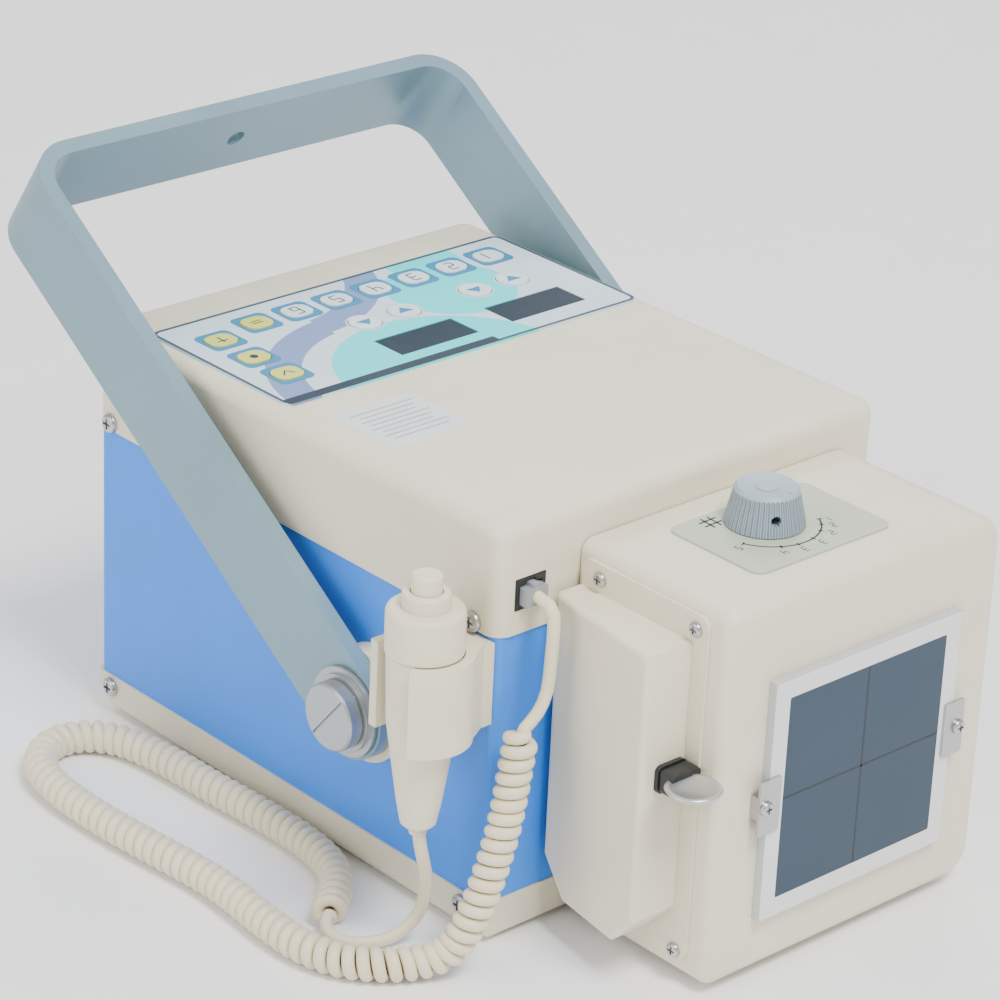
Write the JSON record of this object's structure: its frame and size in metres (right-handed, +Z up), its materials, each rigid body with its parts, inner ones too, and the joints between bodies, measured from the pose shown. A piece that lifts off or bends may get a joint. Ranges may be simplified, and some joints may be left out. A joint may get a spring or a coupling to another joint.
{
  "type": "portable x-ray generator",
  "caption": "Portable box-shaped x-ray unit with a tilting carry handle, membrane key panel, beam collimator and a hand switch on a curly cord.",
  "frame": {"origin": "centre of the cabinet's footprint, on the plane its rubber strips stand on", "axes": "+Z up, -Y the way the beam leaves, +X to the right of someone who faces the beam side's back, that is across the cabinet away from the hand switch"},
  "size_m": [0.2823, 0.3715, 0.2319],
  "materials": {
    "cream_paint": "satin",
    "blue_paint": "satin",
    "cream_plastic": "satin",
    "black_rubber": "matte",
    "steel_screw": "satin",
    "panel_film": "satin",
    "display_lens": "gloss",
    "circuit_board": "satin",
    "tank_steel": "satin",
    "tube_glass": "gloss",
    "black_plastic": "satin",
    "knob_grey": "satin",
    "key_yellow": "satin",
    "handle_paint": "satin",
    "bolt_steel": "satin",
    "grey_plastic": "satin",
    "clear_plastic": "gloss",
    "cord_jacket": "satin",
    "panel_aluminium": "satin",
    "tape_steel": "satin",
    "window_acrylic": "gloss",
    "lead_blade": "matte",
    "key_film": "satin"
  },
  "bodies": {
    "cabinet": {"bottom_tray": "cream_paint", "body_shell": "blue_paint", "upper_cover": "cream_plastic", "rubber_feet": "black_rubber", "cabinet_screws": "steel_screw", "overlay_panel": "panel_film", "digit_displays": "display_lens", "control_board": "circuit_board", "hv_tank": "tank_steel", "xray_tube": "tube_glass", "power_board": "circuit_board", "mains_inlet": "black_plastic", "rocker_frame": "black_plastic", "switch_jack": "black_plastic", "pivot_bosses": "cream_plastic", "pivot_bolts": "bolt_steel", "holder_clip": "grey_plastic", "switch_barrel": "grey_plastic", "switch_collar": "grey_plastic", "switch_sleeve": "grey_plastic", "button_spring": "steel_screw", "cord_plug": "clear_plastic", "jack_lead": "cord_jacket", "curly_coil": "cord_jacket", "switch_lead": "cord_jacket", "collimator_housing": "cream_plastic", "side_flange": "cream_plastic", "small_screws": "steel_screw", "tape_housing": "cream_plastic", "slot_bezel": "black_plastic", "dial_plate": "panel_aluminium", "window_plate": "window_acrylic", "window_clips": "steel_screw", "light_optics": "tube_glass"},
    "handle": {"carry_handle": "handle_paint"},
    "rocker": {"power_rocker": "black_plastic"},
    "button": {"switch_button": "black_plastic"},
    "knob": {"field_knob": "knob_grey", "knob_shaft": "steel_screw"},
    "tape": {"tape_blade": "tape_steel", "tape_tab": "black_plastic"},
    "reel": {"tape_reel": "black_plastic"},
    "blade_left": {"shutter_left": "lead_blade"},
    "blade_right": {"shutter_right": "lead_blade"},
    "blade_lower": {"shutter_lower": "lead_blade"},
    "blade_upper": {"shutter_upper": "lead_blade"},
    "key_1_body": {"key_1": "key_film"},
    "key_2_body": {"key_2": "key_film"},
    "key_3_body": {"key_3": "key_film"},
    "key_4_body": {"key_4": "key_film"},
    "key_5_body": {"key_5": "key_film"},
    "key_6_body": {"key_6": "key_film"},
    "key_store_body": {"key_store": "key_yellow"},
    "key_power_body": {"key_power": "key_yellow"},
    "key_lamp_body": {"key_lamp": "key_yellow"},
    "key_mode_body": {"key_mode": "key_yellow"},
    "key_kv_down_body": {"key_kv_down": "key_film"},
    "key_kv_up_body": {"key_kv_up": "key_film"},
    "key_mas_down_body": {"key_mas_down": "key_film"},
    "key_mas_up_body": {"key_mas_up": "key_film"}
  },
  "joints": [
    {"name": "handle_pivot", "type": "hinge", "parent": "cabinet", "child": "handle", "pos_m": [0, -0.0543, 0.075], "axis": [1, 0, 0], "range_deg": [-30, 66]},
    {"name": "rocker_tilt", "type": "hinge", "parent": "cabinet", "child": "rocker", "pos_m": [-0.012, 0.114, 0.063], "axis": [1, 0, 0], "range_deg": [-6, 6]},
    {"name": "button_press", "type": "slide", "parent": "cabinet", "child": "button", "axis": [0, 0, -1], "range_m": [0, 0.003], "stiffness_N_per_m": 900, "springref_m": -0.002, "deforming": ["button_spring"]},
    {"name": "field_turn", "type": "hinge", "parent": "cabinet", "child": "knob", "pos_m": [0.0045, -0.1485, 0.154], "axis": [0, 0, 1], "range_deg": [-60, 60]},
    {"name": "blade_left_slide", "type": "slide", "parent": "cabinet", "child": "blade_left", "axis": [-1, 0, 0], "range_m": [-0.0165, 0.0165]},
    {"name": "blade_right_slide", "type": "slide", "parent": "cabinet", "child": "blade_right", "axis": [1, 0, 0], "range_m": [-0.0165, 0.0165]},
    {"name": "blade_lower_slide", "type": "slide", "parent": "cabinet", "child": "blade_lower", "axis": [0, 0, -1], "range_m": [-0.0165, 0.0165]},
    {"name": "blade_upper_slide", "type": "slide", "parent": "cabinet", "child": "blade_upper", "axis": [0, 0, 1], "range_m": [-0.0165, 0.0165]},
    {"name": "tape_pull", "type": "slide", "parent": "cabinet", "child": "tape", "axis": [0, -1, 0], "range_m": [0, 0.044], "stiffness_N_per_m": 4, "springref_m": -0.02},
    {"name": "reel_spin", "type": "hinge", "parent": "cabinet", "child": "reel", "pos_m": [-0.0653, -0.1505, 0.0703], "axis": [1, 0, 0], "range_deg": [0, 148.6]},
    {"name": "key_1_press", "type": "slide", "parent": "cabinet", "child": "key_1_body", "axis": [0, 0, -1], "range_m": [0, 0.00035], "stiffness_N_per_m": 1500, "springref_m": -0.0008},
    {"name": "key_2_press", "type": "slide", "parent": "cabinet", "child": "key_2_body", "axis": [0, 0, -1], "range_m": [0, 0.00035], "stiffness_N_per_m": 1500, "springref_m": -0.0008},
    {"name": "key_3_press", "type": "slide", "parent": "cabinet", "child": "key_3_body", "axis": [0, 0, -1], "range_m": [0, 0.00035], "stiffness_N_per_m": 1500, "springref_m": -0.0008},
    {"name": "key_4_press", "type": "slide", "parent": "cabinet", "child": "key_4_body", "axis": [0, 0, -1], "range_m": [0, 0.00035], "stiffness_N_per_m": 1500, "springref_m": -0.0008},
    {"name": "key_5_press", "type": "slide", "parent": "cabinet", "child": "key_5_body", "axis": [0, 0, -1], "range_m": [0, 0.00035], "stiffness_N_per_m": 1500, "springref_m": -0.0008},
    {"name": "key_6_press", "type": "slide", "parent": "cabinet", "child": "key_6_body", "axis": [0, 0, -1], "range_m": [0, 0.00035], "stiffness_N_per_m": 1500, "springref_m": -0.0008},
    {"name": "key_store_press", "type": "slide", "parent": "cabinet", "child": "key_store_body", "axis": [0, 0, -1], "range_m": [0, 0.00035], "stiffness_N_per_m": 1500, "springref_m": -0.0008},
    {"name": "key_power_press", "type": "slide", "parent": "cabinet", "child": "key_power_body", "axis": [0, 0, -1], "range_m": [0, 0.00035], "stiffness_N_per_m": 1500, "springref_m": -0.0008},
    {"name": "key_lamp_press", "type": "slide", "parent": "cabinet", "child": "key_lamp_body", "axis": [0, 0, -1], "range_m": [0, 0.00035], "stiffness_N_per_m": 1500, "springref_m": -0.0008},
    {"name": "key_mode_press", "type": "slide", "parent": "cabinet", "child": "key_mode_body", "axis": [0, 0, -1], "range_m": [0, 0.00035], "stiffness_N_per_m": 1500, "springref_m": -0.0008},
    {"name": "key_kv_down_press", "type": "slide", "parent": "cabinet", "child": "key_kv_down_body", "axis": [0, 0, -1], "range_m": [0, 0.00035], "stiffness_N_per_m": 1500, "springref_m": -0.0008},
    {"name": "key_kv_up_press", "type": "slide", "parent": "cabinet", "child": "key_kv_up_body", "axis": [0, 0, -1], "range_m": [0, 0.00035], "stiffness_N_per_m": 1500, "springref_m": -0.0008},
    {"name": "key_mas_down_press", "type": "slide", "parent": "cabinet", "child": "key_mas_down_body", "axis": [0, 0, -1], "range_m": [0, 0.00035], "stiffness_N_per_m": 1500, "springref_m": -0.0008},
    {"name": "key_mas_up_press", "type": "slide", "parent": "cabinet", "child": "key_mas_up_body", "axis": [0, 0, -1], "range_m": [0, 0.00035], "stiffness_N_per_m": 1500, "springref_m": -0.0008}
  ],
  "couplings": [
    {"joint": "blade_left_slide", "follows": "field_turn", "m_per_rad": 0.015756},
    {"joint": "blade_right_slide", "follows": "field_turn", "m_per_rad": 0.015756},
    {"joint": "blade_lower_slide", "follows": "field_turn", "m_per_rad": 0.015756},
    {"joint": "blade_upper_slide", "follows": "field_turn", "m_per_rad": 0.015756},
    {"joint": "reel_spin", "follows": "tape_pull", "rad_per_m": 58.139}
  ]
}
